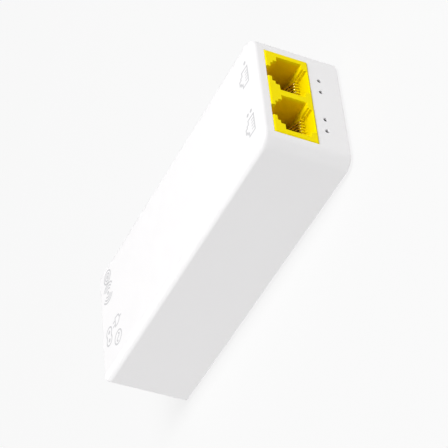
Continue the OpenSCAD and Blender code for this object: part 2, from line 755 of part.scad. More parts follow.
// Electrolytic can standing on its end
module can_capacitor(r, h) {
    rotate_extrude() polygon(concat(
        [[0, 0.3]], [[r - 0.3, 0.3], [r, 0.6], [r, 1.6], [r - 0.3, 1.9], [r, 2.2]],
        arc(r - 0.4, h - 0.4, 0.4, 0, 90, 4), [[0, h]]
    ));
    legs(output_cap_legs);
}

module output_capacitors() color("midnightblue") for (at = output_cap_spots) on_board(at)
    can_capacitor(3.15, 11.2);

module power_coil() color("slategray") under_board(power_coil_at) {
    bevelled_block([6, 6, 1], 0.2);
    translate([0, 0, 0.8]) cylinder(r = 2.7, h = 2.6);
    translate([0, 0, 3]) cylinder(r = 2.9, h = 0.8);
}

module line_coil() color("olive") on_board(line_coil_at) {
    translate([0, 0, 0.3]) block([7.6, 7.8, 1.2]);
    translate([0, 0, 1.5]) bevelled_block([7, 7, 5.4], 0.6);
    legs(line_coil_legs);
}

module modem_chip() color("black") on_board(modem_at) bevelled_block([9, 9, 0.9], 0.1);

module thermal_pad() color("lightgray") on_board(modem_at) translate([0, 0, 0.9]) block([8.6, 8.6, 0.5]);

module heatsink() color("silver") on_board(modem_at) translate([0, 0, 1.4]) {
    block([heatsink_size[0], heatsink_size[1], 1.6]);
    pitch = (heatsink_size[0] - 1) / (fin_n - 1);
    for (i = [0 : fin_n - 1]) translate([(i - (fin_n - 1) / 2) * pitch, 0, 1.2])
        bevelled_block([1, heatsink_size[1], heatsink_size[2] - 1.2], 0.2);
}

module port_chips() color("black") for (at = phy_spots) on_board(at) bevelled_block([5, 5, 0.9], 0.1);

module memory_chip() color("black") under_board(memory_at) bevelled_block([7, 7.2, 1.1], 0.1);

module flash_chip() color("black") under_board(flash_at) leaded_chip([3.9, 4.9, 1.6], 4, 1.27, 1);

module crystal() color("silver") on_board(crystal_at) {
    block([3.2, 2.2, 0.4]);
    translate([0, 0, 0.3]) bevelled_block([2.9, 1.9, 0.5], 0.15);
}

module port_filters() color("black") for (at = port_filter_spots) under_board(at)
    leaded_chip([7, 12.6, 4.2], 8, 1.27, 1.2);

// Ceramic capacitors and resistors, each with its two solder ends
module chip_passives() color("tan") for (at = concat(passive_spots, primary_passive_spots)) on_board(at) {
    block([1.6, 0.8, 0.5]);
    for (s = [-1, 1]) translate([s * 0.65, 0, 0]) block([0.35, 0.86, 0.56]);
}

// ---------------------------------------------------------------- nodes

top_casing();
bottom_cover();
cover_screws();
rubber_feet();
insulation_sheet();
circuit_board();
jack_housing();
port_contacts(0);  // port_1_contacts
port_contacts(1);  // port_2_contacts
contact_carriers();
light_guides();
port_lamps();
inlet_housing();
inlet_pins();
pair_button();
switch_body();
switch_frame();
switch_plunger();
fuse();
thermistor();
varistor();
filter_capacitor();
choke_core();
choke_windings();
bridge_rectifier();
reservoir_capacitor();
power_controller_chip();
transformer_core();
transformer_bobbin();
transformer_windings();
transformer_pins();
optocoupler();
output_diode();
output_capacitors();
power_coil();
bridging_capacitor();
coupling_capacitor();
line_coil();
modem_chip();
thermal_pad();
heatsink();
port_chips();
memory_chip();
flash_chip();
crystal();
port_filters();
chip_passives();
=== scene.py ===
"""Looks of the powerline adapter: casing, jacks, lamps, inlet, button and what the casing holds."""

import math

import bmesh
import bpy
from mathutils import Matrix, Vector


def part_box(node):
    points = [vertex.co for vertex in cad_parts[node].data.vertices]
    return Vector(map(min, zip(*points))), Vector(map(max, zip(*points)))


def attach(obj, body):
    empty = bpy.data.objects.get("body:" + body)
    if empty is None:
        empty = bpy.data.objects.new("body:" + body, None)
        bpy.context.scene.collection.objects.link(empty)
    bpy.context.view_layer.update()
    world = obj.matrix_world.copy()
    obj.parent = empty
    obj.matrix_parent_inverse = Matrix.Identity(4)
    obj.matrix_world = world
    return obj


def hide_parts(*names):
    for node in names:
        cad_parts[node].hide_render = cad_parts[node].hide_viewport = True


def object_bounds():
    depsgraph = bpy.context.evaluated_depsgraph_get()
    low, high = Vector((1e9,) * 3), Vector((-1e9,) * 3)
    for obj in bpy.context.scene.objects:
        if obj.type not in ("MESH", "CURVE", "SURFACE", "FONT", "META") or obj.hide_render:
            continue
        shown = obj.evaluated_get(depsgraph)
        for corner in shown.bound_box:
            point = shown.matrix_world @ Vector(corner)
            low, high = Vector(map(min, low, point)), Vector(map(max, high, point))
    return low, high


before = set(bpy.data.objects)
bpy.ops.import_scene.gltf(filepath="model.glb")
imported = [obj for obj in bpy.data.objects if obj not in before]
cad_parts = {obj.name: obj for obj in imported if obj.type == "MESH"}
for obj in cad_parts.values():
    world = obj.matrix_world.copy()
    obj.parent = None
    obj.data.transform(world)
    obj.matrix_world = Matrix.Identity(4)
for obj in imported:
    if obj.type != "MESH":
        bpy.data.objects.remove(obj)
cad_low, cad_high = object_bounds()

MM = 0.001
SCENE = bpy.context.scene

# ---------------------------------------------------------------- camera

VIEW_AZIMUTH = -47.98
VIEW_ELEVATION = 21.04
VIEW_ROLL = 74.41
VIEW_DISTANCE = 534.9 * MM
VIEW_TARGET = Vector((3.03, 1.76, 9.51)) * MM
LENS = 165.74
SENSOR = 36


def make_camera():
    """Looks down at the port end, rolled so that the casing's top face is on the left."""
    azimuth, elevation = math.radians(VIEW_AZIMUTH), math.radians(VIEW_ELEVATION)
    back = Vector((
        math.sin(azimuth) * math.cos(elevation),
        -math.cos(azimuth) * math.cos(elevation),
        math.sin(elevation),
    ))
    data = bpy.data.cameras.new("camera")
    data.lens = LENS
    data.sensor_width = SENSOR
    data.clip_start = 0.01
    data.clip_end = 20
    camera = bpy.data.objects.new("camera", data)
    camera.rotation_mode = "QUATERNION"
    camera.location = VIEW_TARGET + back * VIEW_DISTANCE
    level = (-back).to_track_quat("-Z", "Y")
    roll = Matrix.Rotation(-math.radians(VIEW_ROLL), 4, back).to_quaternion()
    camera.rotation_quaternion = roll @ level
    SCENE.collection.objects.link(camera)
    SCENE.camera = camera


# ---------------------------------------------------------------- materials

TIN = (0.74, 0.74, 0.73)


class Shader:
    """A Principled material, with short calls for the nodes that feed it."""

    def __init__(self, name, roughness=0.5, metallic=0.0, **constants):
        self.material = bpy.data.materials.new(name)
        self.material.use_nodes = True
        self.nodes = self.material.node_tree.nodes
        self.links = self.material.node_tree.links
        self.surface = self.nodes["Principled BSDF"]
        self.surface.inputs["Roughness"].default_value = roughness
        self.surface.inputs["Metallic"].default_value = metallic
        for socket, value in constants.items():
            self.surface.inputs[socket.replace("_", " ")].default_value = value
        self.place = self.nodes.new("ShaderNodeTexCoord").outputs["Object"]

    def stretched(self, scale):
        """The place on the object, scaled differently along x, y and z."""
        node = self.nodes.new("ShaderNodeMapping")
        node.inputs["Scale"].default_value = scale
        self.links.new(self.place, node.inputs["Vector"])
        return node.outputs["Vector"]

    def noise(self, size, detail=2.0, place=None):
        """Noise from 0 to 1 whose features are about size metres across."""
        node = self.nodes.new("ShaderNodeTexNoise")
        node.inputs["Scale"].default_value = 1 / size
        node.inputs["Detail"].default_value = detail
        self.links.new(place or self.place, node.inputs["Vector"])
        return node.outputs["Fac"]

    def cells(self, size, place=None):
        """Distance to the nearest cell centre, for specks and crystals about size metres across."""
        node = self.nodes.new("ShaderNodeTexVoronoi")
        node.inputs["Scale"].default_value = 1 / size
        self.links.new(place or self.place, node.inputs["Vector"])
        return node.outputs["Distance"]

    def bands(self, size, direction, distortion=0.0):
        """Even waves across one axis."""
        node = self.nodes.new("ShaderNodeTexWave")
        node.bands_direction = direction
        node.inputs["Scale"].default_value = 0.314 / size
        node.inputs["Distortion"].default_value = distortion
        self.links.new(self.place, node.inputs["Vector"])
        return node.outputs["Fac"]

    def axis(self, index):
        node = self.nodes.new("ShaderNodeSeparateXYZ")
        self.links.new(self.place, node.inputs["Vector"])
        return node.outputs[index]

    def math(self, operation, *values):
        node = self.nodes.new("ShaderNodeMath")
        node.operation = operation
        for socket, value in zip(node.inputs, values):
            if isinstance(value, (int, float)):
                socket.default_value = value
            else:
                self.links.new(value, socket)
        return node.outputs[0]

    def spread(self, value, low, high, start=0.0, end=1.0):
        """value, taken from start..end to low..high."""
        node = self.nodes.new("ShaderNodeMapRange")
        self.links.new(value, node.inputs["Value"])
        for socket, number in (("From Min", start), ("From Max", end), ("To Min", low), ("To Max", high)):
            node.inputs[socket].default_value = number
        return node.outputs["Result"]

    def blend(self, fac, low, high):
        """Colour low where fac is 0 and high where it is 1. Either may be another node's colour."""
        node = self.nodes.new("ShaderNodeMix")
        node.data_type = "RGBA"
        self.links.new(fac, node.inputs["Factor"])
        for socket, colour in ((node.inputs[6], low), (node.inputs[7], high)):
            if isinstance(colour, tuple):
                socket.default_value = (*colour, 1)
            else:
                self.links.new(colour, socket)
        return node.outputs[2]

    def feed(self, socket, value):
        self.links.new(value, self.surface.inputs[socket])

    def tin_where(self, mask):
        """Turns what was fed before into tinned metal, wherever mask is 1."""
        body = self.surface.inputs["Base Color"].links[0].from_socket
        self.feed("Base Color", self.blend(mask, body, TIN))
        self.feed("Metallic", mask)
        return self

    def bump(self, height, depth, strength=1.0):
        node = self.nodes.new("ShaderNodeBump")
        node.inputs["Distance"].default_value = depth
        node.inputs["Strength"].default_value = strength
        self.links.new(height, node.inputs["Height"])
        self.links.new(node.outputs["Normal"], self.surface.inputs["Normal"])


def tinted(colour, share):
    """A lighter or darker version of a colour."""
    return tuple(min(1.0, max(0.0, c * (1 + share))) for c in colour)


def moulded(name, colour, roughness=0.45, grain=0.25 * MM, depth=0.004 * MM, drift=0.03, **constants):
    """Injection-moulded plastic: fine eroded grain, a slow drift of tone and slightly uneven gloss."""
    s = Shader(name, roughness, **constants)
    s.feed("Base Color", s.blend(s.noise(9 * MM), tinted(colour, -drift), tinted(colour, drift)))
    s.feed("Roughness", s.spread(s.noise(2.5 * MM, 3), roughness - 0.05, roughness + 0.05, 0.3, 0.7))
    s.bump(s.noise(grain, 3), depth)
    return s


def plated(name, colour, roughness=0.25, along=(1, 1, 1), streak=0.12 * MM, depth=0.001 * MM):
    """Plated or rolled metal: fine streaks along one axis and small differences in shine."""
    s = Shader(name, roughness, metallic=1.0)
    streaks = s.noise(streak, 2, s.stretched(along))
    s.feed("Base Color", s.blend(s.noise(1.5 * MM), tinted(colour, -0.08), tinted(colour, 0.06)))
    s.feed("Roughness", s.spread(streaks, roughness - 0.07, roughness + 0.1, 0.25, 0.75))
    s.bump(streaks, depth)
    return s


def rubber(name, colour):
    """Soft rubber: matte, slightly dusty, with a fine pimpled skin."""
    s = Shader(name, 0.8)
    dust = s.spread(s.noise(1.2 * MM, 4), 0, 1, 0.45, 0.75)
    s.feed("Base Color", s.blend(dust, colour, tinted(colour, 0.8)))
    s.feed("Roughness", s.spread(dust, 0.72, 0.92))
    s.bump(s.cells(0.22 * MM), 0.012 * MM)
    return s


def fired(name, colour, speck, roughness=0.6, size=0.2 * MM):
    """Pressed and fired ferrite or ceramic: small specks and a dry, pitted skin."""
    s = Shader(name, roughness)
    specks = s.spread(s.cells(size), 0, 1, 0.15, 0.45)
    s.feed("Base Color", s.blend(specks, speck, colour))
    s.feed("Roughness", s.spread(s.noise(size * 3), roughness - 0.1, roughness + 0.1))
    s.bump(s.noise(size, 4), 0.01 * MM)
    return s


def taped(name, colour):
    """Polyester tape wound in layers, whose edges show as fine bands."""
    s = Shader(name, 0.3)
    layers = s.bands(0.35 * MM, "Z", 0.6)
    s.feed("Base Color", s.blend(layers, tinted(colour, -0.18), tinted(colour, 0.05)))
    s.feed("Roughness", s.spread(s.noise(1 * MM), 0.22, 0.42))
    s.bump(layers, 0.01 * MM)
    return s


def lacquered(name, colour, roughness=0.25):
    """Dipped lacquer or epoxy: glossy, a little lumpy."""
    s = Shader(name, roughness, Coat_Weight=0.4, Coat_Roughness=0.12)
    s.feed("Base Color", s.blend(s.noise(2.2 * MM, 3), tinted(colour, -0.15), tinted(colour, 0.15)))
    s.feed("Roughness", s.spread(s.noise(0.8 * MM), roughness - 0.08, roughness + 0.1))
    s.bump(s.noise(1.6 * MM, 1), 0.05 * MM)
    return s


def enamelled(name, colour):
    """Enamelled copper wire: a clear coat over drawn metal, lighter and darker from turn to turn."""
    s = Shader(name, 0.28, metallic=0.85, Coat_Weight=0.6, Coat_Roughness=0.15)
    s.feed("Base Color", s.blend(s.noise(0.9 * MM, 3), tinted(colour, -0.2), tinted(colour, 0.15)))
    s.feed("Roughness", s.spread(s.noise(0.4 * MM), 0.2, 0.38))
    s.bump(s.noise(0.5 * MM, 2), 0.004 * MM)
    return s


def sleeved(name, film, stripe, centre_x, half_width):
    """Shrunk sleeve of an electrolytic can: dark film with one paler stripe along it."""
    s = Shader(name, 0.35)
    off = s.math("ABSOLUTE", s.math("SUBTRACT", s.axis(0), centre_x))
    in_stripe = s.math("LESS_THAN", off, half_width)
    dark = s.blend(s.noise(1.5 * MM), tinted(film, -0.1), tinted(film, 0.2))
    s.feed("Base Color", s.blend(in_stripe, dark, stripe))
    s.feed("Roughness", s.spread(s.noise(0.9 * MM), 0.28, 0.45))
    s.bump(s.noise(0.7 * MM, 1), 0.01 * MM)
    return s


def board_mask():
    """Green solder mask with paler tracks under it, and bare laminate round the edges."""
    s = Shader("board_mask", 0.32)
    tracks = s.spread(s.bands(0.55 * MM, "X", 3.5), 0, 1, 0.72, 0.8)
    crossing = s.spread(s.bands(0.7 * MM, "Y", 5.0), 0, 1, 0.8, 0.86)
    patchy = s.spread(s.noise(6 * MM), 0.2, 1, 0.4, 0.55)
    copper = s.math("MULTIPLY", s.math("MAXIMUM", tracks, crossing), patchy)
    mask = s.blend(s.noise(0.5 * MM, 3), (0.012, 0.115, 0.045), (0.02, 0.15, 0.06))
    face = s.blend(copper, mask, (0.05, 0.26, 0.09))
    half_width, half_length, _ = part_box("circuit_board")[1]
    shorten = half_length - half_width
    past_ends = s.math("SUBTRACT", s.math("ABSOLUTE", s.axis(1)), shorten)
    outward = s.math("MAXIMUM", s.math("ABSOLUTE", s.axis(0)), past_ends)
    rim = s.math("GREATER_THAN", outward, half_width - 0.01 * MM)
    s.feed("Base Color", s.blend(rim, face, (0.42, 0.36, 0.16)))
    s.feed("Roughness", s.spread(s.noise(1.2 * MM), 0.25, 0.42))
    s.bump(s.math("ADD", copper, s.math("MULTIPLY", s.noise(0.3 * MM), 0.4)), 0.02 * MM)
    return s


def insulating_paper():
    """Yellowish insulating film: fibres and a faint cloudiness."""
    s = Shader("insulating_paper", 0.55)
    fibres = s.noise(0.5 * MM, 4, s.stretched((1, 0.25, 1)))
    s.feed("Base Color", s.blend(fibres, (0.72, 0.68, 0.48), (0.86, 0.83, 0.66)))
    s.feed("Roughness", s.spread(fibres, 0.45, 0.65))
    s.bump(fibres, 0.01 * MM)
    return s


def chip_epoxy(name):
    """Black moulding compound of a chip package, matte and a little cloudy."""
    s = Shader(name, 0.5)
    epoxy = s.blend(s.noise(0.2 * MM, 3), (0.012, 0.012, 0.013), (0.03, 0.03, 0.032))
    s.feed("Base Color", epoxy)
    s.feed("Roughness", s.spread(s.noise(0.6 * MM), 0.42, 0.6))
    s.bump(s.noise(0.12 * MM, 2), 0.006 * MM)
    return s


def leaded_epoxy(node, reach, apart=0.0):
    """Chip epoxy with tinned leads out of both x sides; apart is the distance between a pair's middles."""
    low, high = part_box(node)
    s = chip_epoxy(node + "_epoxy")
    off = s.math("ABSOLUTE", s.math("SUBTRACT", s.axis(0), (low.x + high.x) / 2))
    off = s.math("ABSOLUTE", s.math("SUBTRACT", off, apart / 2))
    half = (high.x - low.x - apart) / 2 - reach
    return s.tin_where(s.math("GREATER_THAN", off, half + 0.02 * MM))


def on_legs(shader, height=0.25 * MM):
    """Tinned legs on a through-hole part, from their tips to a height above the board."""
    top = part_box("circuit_board")[1].z + height
    return shader.tin_where(shader.math("LESS_THAN", shader.axis(2), top))


def optocoupler_epoxy():
    """White moulding compound with tinned leads out of both y sides."""
    low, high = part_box("optocoupler")
    s = moulded("optocoupler_white", (0.80, 0.80, 0.77), 0.45)
    off = s.math("ABSOLUTE", s.math("SUBTRACT", s.axis(1), (low.y + high.y) / 2))
    return s.tin_where(s.math("GREATER_THAN", off, 3.22 * MM))


WHITE = (0.876, 0.868, 0.873)
YELLOW = (0.95, 0.775, 0.0)
# Painted shade: a darker, browner yellow standing in for the shade inside the jack cavities.
SHADED_CAVITY_YELLOW = (0.88, 0.59, 0.0)


def casing_plastic():
    """Near-white, fine-matte casing plastic."""
    s = Shader("casing_plastic", 0.42, Specular_IOR_Level=0.45)
    slow = s.noise(14 * MM, 2)
    s.feed("Base Color", s.blend(slow, tinted(WHITE, -0.008), tinted(WHITE, 0.008)))
    s.feed("Roughness", s.spread(s.noise(3 * MM, 3), 0.38, 0.48, 0.3, 0.7))
    s.bump(s.noise(0.3 * MM, 3), 0.003 * MM)
    return s


def jack_plastic():
    """Bright yellow jack moulding, satin, with faint flow marks; past the mouth and above the ledge the
    cavity walls carry painted shade, a deeper yellow.
    """
    s = Shader("jack_plastic", 0.5, Specular_IOR_Level=0.03)
    flow = s.noise(2.2 * MM, 3, s.stretched((1, 0.3, 1)))
    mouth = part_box("jack_housing")[0].y
    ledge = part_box("circuit_board")[1].z + 1.9 * MM
    inside = s.spread(s.axis(1), 0, 1, mouth + 0.3 * MM, mouth + 1.2 * MM)
    wall_shade_above_ledge = s.spread(s.axis(2), 0, 1, ledge + 0.1 * MM, ledge + 0.6 * MM)
    outer = s.blend(flow, tinted(YELLOW, -0.03), tinted(YELLOW, 0.02))
    # Painted shade: walls deeper than the mouth and above the ledge are coloured darker yellow, for the
    # shade in the cavity.
    s.feed("Base Color", s.blend(s.math("MULTIPLY", inside, wall_shade_above_ledge), outer, SHADED_CAVITY_YELLOW))
    s.feed("Roughness", s.spread(flow, 0.44, 0.56, 0.3, 0.7))
    s.bump(s.noise(0.2 * MM, 2), 0.003 * MM)
    return s


# ---------------------------------------------------------------- meshes


def new_piece(name, mesh, shader, body="housing", replaces=None):
    """A Blender piece in the row frame that rides on a CAD body, and may stand for a CAD node."""
    piece = bpy.data.objects.new(name, mesh)
    SCENE.collection.objects.link(piece)
    mesh.materials.clear()
    mesh.materials.append(shader.material)
    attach(piece, body)
    if replaces:
        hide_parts(replaces)
    return piece


def smooth_shading():
    """Geometry nodes that shade every face smooth and keep edges over 35 degrees sharp."""
    group = bpy.data.node_groups.new("smooth_shading", "GeometryNodeTree")
    group.interface.new_socket("Geometry", in_out="INPUT", socket_type="NodeSocketGeometry")
    group.interface.new_socket("Geometry", in_out="OUTPUT", socket_type="NodeSocketGeometry")
    source = group.nodes.new("NodeGroupInput")
    target = group.nodes.new("NodeGroupOutput")
    faces = group.nodes.new("GeometryNodeSetShadeSmooth")
    faces.domain = "FACE"
    edges = group.nodes.new("GeometryNodeSetShadeSmooth")
    edges.domain = "EDGE"
    edges.inputs["Shade Smooth"].default_value = False
    angle = group.nodes.new("GeometryNodeInputMeshEdgeAngle")
    steep = group.nodes.new("FunctionNodeCompare")
    steep.data_type = "FLOAT"
    steep.operation = "GREATER_THAN"
    steep.inputs["B"].default_value = math.radians(35)
    group.links.new(source.outputs["Geometry"], faces.inputs["Geometry"])
    group.links.new(faces.outputs["Geometry"], edges.inputs["Geometry"])
    group.links.new(angle.outputs["Unsigned Angle"], steep.inputs["A"])
    group.links.new(steep.outputs["Result"], edges.inputs["Selection"])
    group.links.new(edges.outputs["Geometry"], target.inputs["Geometry"])
    return group


SMOOTH_SHADING = smooth_shading()


def soften(piece, width, segments=2, angle=32):
    """Rounds a piece's edges a little and shades it smooth, after clearing its flat triangulation."""
    weld = piece.modifiers.new("weld", "WELD")
    weld.merge_threshold = 0.002 * MM
    flatten = piece.modifiers.new("flatten", "DECIMATE")
    flatten.decimate_type = "DISSOLVE"
    flatten.angle_limit = math.radians(0.5)
    bevel = piece.modifiers.new("bevel", "BEVEL")
    bevel.width = width
    bevel.segments = segments
    bevel.limit_method = "ANGLE"
    bevel.angle_limit = math.radians(angle)
    shade = piece.modifiers.new("shade", "NODES")
    shade.node_group = SMOOTH_SHADING
    even = piece.modifiers.new("even", "WEIGHTED_NORMAL")
    even.keep_sharp = True
    even.weight = 80


def paint(shader, *nodes, width=0.05 * MM, segments=2):
    """Gives CAD nodes their material and softened edges."""
    for name in nodes:
        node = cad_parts[name]
        node.data.materials.clear()
        node.data.materials.append(shader.material)
        soften(node, width, segments)


def mesh_from(name, verts, faces, smooth=True):
    mesh = bpy.data.meshes.new(name)
    mesh.from_pydata(verts, [], faces)
    mesh.update()
    if smooth:
        mesh.shade_smooth()
    return mesh


def tube(path, radius, sides=10):
    """Vertices and faces of a closed round tube along a path of points."""
    verts, faces = [], []
    normal = None
    for i, point in enumerate(path):
        ahead = (path[min(i + 1, len(path) - 1)] - path[max(i - 1, 0)]).normalized()
        if normal is None:
            normal = ahead.orthogonal().normalized()
        normal = (normal - ahead * normal.dot(ahead)).normalized()
        across = ahead.cross(normal)
        for k in range(sides):
            turn = 2 * math.pi * k / sides
            verts.append(point + (normal * math.cos(turn) + across * math.sin(turn)) * radius)
    for i in range(len(path) - 1):
        for k in range(sides):
            a, b = i * sides + k, i * sides + (k + 1) % sides
            faces.append((a, b, b + sides, a + sides))
    faces.append(tuple(range(sides - 1, -1, -1)))
    faces.append(tuple((len(path) - 1) * sides + k for k in range(sides)))
    return verts, faces


def add_shape(shapes, shape):
    """Adds one (verts, faces) shape to a growing one."""
    verts, faces = shapes
    start = len(verts)
    verts.extend(shape[0])
    faces.extend(tuple(start + i for i in face) for face in shape[1])


def turned(profile, centre, sides=16):
    """Closed body of revolution about a vertical axis; profile is (radius, z) from end to end."""
    verts, faces = [], []
    for radius, z in profile:
        for k in range(sides):
            turn = 2 * math.pi * k / sides
            x, y = centre[0] + radius * math.cos(turn), centre[1] + radius * math.sin(turn)
            verts.append(Vector((x, y, z)))
    for i in range(len(profile) - 1):
        for k in range(sides):
            a, b = i * sides + k, i * sides + (k + 1) % sides
            faces.append((a, b, b + sides, a + sides))
    faces.append(tuple(range(sides - 1, -1, -1)))
    faces.append(tuple((len(profile) - 1) * sides + k for k in range(sides)))
    return verts, faces


# ---------------------------------------------------------------- printed marks

TOP_Z = cad_high.z
INK_LIFT = 0.004 * MM
INK_SINK = 0.03 * MM
STROKE = 0.5  # millimetres, like every size of a mark


def arc(x, y, radius, start, end, steps=14):
    """Points along an arc, angles in degrees."""
    turns = [math.radians(start + (end - start) * i / steps) for i in range(steps + 1)]
    return [(x + radius * math.cos(t), y + radius * math.sin(t)) for t in turns]


def ribbon(points, closed=False, width=STROKE):
    """A flat printed line along points in millimetres on the top face, as a closed thin body."""
    flat = [Vector(p) for p in points]
    n = len(flat)
    sides = []
    for i, p in enumerate(flat):
        before = flat[i - 1] if closed or i > 0 else p - (flat[i + 1] - p)
        after = flat[(i + 1) % n] if closed or i < n - 1 else p + (p - flat[i - 1])
        a, b = (p - before).normalized(), (after - p).normalized()
        left = Vector((-a.y - b.y, a.x + b.x)).normalized()
        reach = width / 2 / max(left.dot(Vector((-a.y, a.x))), 0.5)
        sides.append((p + left * reach, p - left * reach))
    verts, faces = [], []
    for left, right in sides:
        for p in (left, right):
            verts.append(Vector((p.x * MM, p.y * MM, TOP_Z + INK_LIFT)))
            verts.append(Vector((p.x * MM, p.y * MM, TOP_Z - INK_SINK)))
    for i in range(n if closed else n - 1):
        a, b = 4 * i, 4 * ((i + 1) % n)
        faces += [(a, a + 2, b + 2, b), (a + 1, b + 1, b + 3, a + 3)]
        faces += [(a, b, b + 1, a + 1), (a + 2, a + 3, b + 3, b + 2)]
    if not closed:
        e = 4 * (n - 1)
        faces += [(0, 1, 3, 2), (e, e + 2, e + 3, e + 1)]
    return verts, faces


def dot(x, y, radius):
    """A flat printed disc, as a closed thin body."""
    rim = [(radius * MM, TOP_Z - INK_SINK), (radius * MM, TOP_Z + INK_LIFT)]
    return turned(rim, (x * MM, y * MM), 20)


def shifted(points, x, y):
    return [(px + x, py + y) for px, py in points]


def print_mark(name, shapes, ink):
    whole = ([], [])
    for shape in shapes:
        add_shape(whole, shape)
    new_piece(name, mesh_from(name, *whole, smooth=False), ink)


def jack_mark(x, y, dots):
    """Outline of a modular jack with its contacts, and one or two dots beside it for the port's place."""
    outline = [
        (0, 0), (5.4, 0), (5.4, 2.9), (4.1, 2.9), (4.1, 3.6), (3.4, 3.6),
        (3.4, 4.3), (2, 4.3), (2, 3.6), (1.3, 3.6), (1.3, 2.9), (0, 2.9),
    ]
    shapes = [ribbon(shifted(outline, x, y), closed=True)]
    for i in range(4):
        shapes.append(ribbon([(x + 1.2 + i, y + 0.25), (x + 1.2 + i, y + 1.5)], width=0.4))
    for i in range(dots):
        shapes.append(dot(x + 7.2, y + 1 + 1.7 * i, 0.55))
    return shapes


def pairing_mark(x, y):
    """A source with waves to both sides, and the button it goes with."""
    shapes = [dot(x, y, 0.6)]
    for radius in (1.4, 2.3, 3.2):
        shapes.append(ribbon(arc(x, y, radius, -58, 58)))
        shapes.append(ribbon(arc(x, y, radius, 122, 238)))
    for radius in (1.2, 2.1):
        shapes.append(ribbon(arc(x + 5.7, y, radius, 0, 345, 22), closed=True))
    shapes.append(dot(x + 5.7, y, 0.6))
    return shapes


def inlet_mark(x, y):
    """Figure-8 outline of the mains inlet with its two pins."""
    right, left = arc(x + 1.35, y, 1.6, -125, 125, 18), arc(x - 1.35, y, 1.6, 55, 305, 18)
    return [ribbon(right + left, closed=True), dot(x + 1.35, y, 0.6), dot(x - 1.35, y, 0.6)]


def current_mark(x, y):
    """Sine wave in a ring, for alternating current."""
    wave = [(x - 1.3 + 2.6 * i / 16, y + 0.75 * math.sin(2 * math.pi * i / 16)) for i in range(17)]
    return [ribbon(wave), ribbon(arc(x, y, 2.1, 0, 350, 28), closed=True)]


def plug_mark(x, y):
    """Two-pin plug with a short tail."""
    head = arc(x, y - 0.2, 1.5, 180, 360, 12)
    body = [(x - 1.5, y + 0.9)] + head + [(x + 1.5, y + 0.9)]
    return [
        ribbon(body, closed=True), ribbon([(x - 0.7, y + 1.1), (x - 0.7, y + 2.4)]),
        ribbon([(x + 0.7, y + 1.1), (x + 0.7, y + 2.4)]), ribbon([(x, y - 1.9), (x, y - 2.9)]),
    ]


def print_marks():
    """Generic pictograms near the four corners of the top face."""
    ink = moulded("mark_ink", (0.58, 0.58, 0.59), 0.55, drift=0.08)
    print_mark("mark_port_1", jack_mark(5.1, -44.0, 1), ink)
    print_mark("mark_port_2", jack_mark(-12.3, -44.2, 2), ink)
    print_mark("mark_pairing", pairing_mark(8.4, 42.1), ink)
    print_mark("mark_inlet", inlet_mark(-6.8, 42.7), ink)
    print_mark("mark_current", current_mark(-11.3, 37.3), ink)
    print_mark("mark_plug", plug_mark(-5.2, 37.7), ink)


# ---------------------------------------------------------------- casing, ports and inlet


def make_outside():
    shell = casing_plastic()
    paint(shell, "top_casing", width=0.12 * MM, segments=3)
    paint(shell, "bottom_cover", width=0.15 * MM)
    paint(rubber("foot_rubber", (0.03, 0.03, 0.032)), "rubber_feet", width=0.2 * MM, segments=3)
    paint(plated("screw_zinc", (0.62, 0.62, 0.60), 0.3), "cover_screws", width=0.04 * MM)
    paint(jack_plastic(), "jack_housing", width=0.08 * MM)
    gold = plated("contact_gold", (0.98, 0.76, 0.33), 0.2, (1, 0.1, 1))
    paint(gold, "port_1_contacts", "port_2_contacts", width=0.1 * MM, segments=3)
    paint(moulded("carrier_ochre", (0.30, 0.20, 0.02), 0.5), "contact_carriers")
    paint(moulded("guide_smoked", (0.045, 0.04, 0.038), 0.3), "light_guides")
    paint(moulded("lamp_resin", (0.80, 0.82, 0.72), 0.2, Transmission_Weight=0.15), "port_lamps")
    paint(moulded("inlet_white", (0.80, 0.80, 0.79), 0.4), "inlet_housing", width=0.12 * MM, segments=3)
    paint(plated("pin_nickel", (0.72, 0.71, 0.67), 0.16, (1, 0.1, 1)), "inlet_pins")
    paint(moulded("button_grey", (0.80, 0.81, 0.81), 0.38), "pair_button", width=0.08 * MM, segments=3)
    print_marks()


# ---------------------------------------------------------------- inside


def leg_tips(name, below):
    """Middles of the legs of a CAD node that reach below a height, from its own vertices."""
    tips = []
    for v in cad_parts[name].data.vertices:
        if v.co.z < below:
            for tip in tips:
                if (Vector(tip[0]) / tip[1] - v.co.xy).length < 0.8 * MM:
                    tip[0] += v.co.xy
                    tip[1] += 1
                    break
            else:
                tips.append([v.co.xy.copy(), 1])
    return [total / count for total, count in tips]


def make_solder():
    """Solder cones where legs come through the board's underside."""
    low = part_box("circuit_board")[0].z
    nodes = [
        "port_1_contacts", "port_2_contacts", "inlet_pins", "fuse", "thermistor", "varistor",
        "filter_capacitor", "reservoir_capacitor", "transformer_pins", "optocoupler", "output_capacitors",
        "bridging_capacitor", "coupling_capacitor", "line_coil", "switch_body", "choke_windings",
    ]
    foot_radius = {"port_1_contacts": 0.42, "port_2_contacts": 0.42, "inlet_pins": 0.95}
    cone = [(1, 0.02), (1, -0.03), (0.8, -0.1), (0.62, -0.3), (0.52, -0.7), (0.3, -0.86)]
    joints = ([], [])
    for name in nodes:
        foot = foot_radius.get(name, 0.7)
        profile = [(foot * share * MM, low + z * MM) for share, z in cone]
        for tip in leg_tips(name, low - 1.0 * MM):
            add_shape(joints, turned(profile, tip, 14))
    solder = plated("solder", (0.70, 0.70, 0.71), 0.34)
    new_piece("solder_joints", mesh_from("solder_joints", *joints), solder)


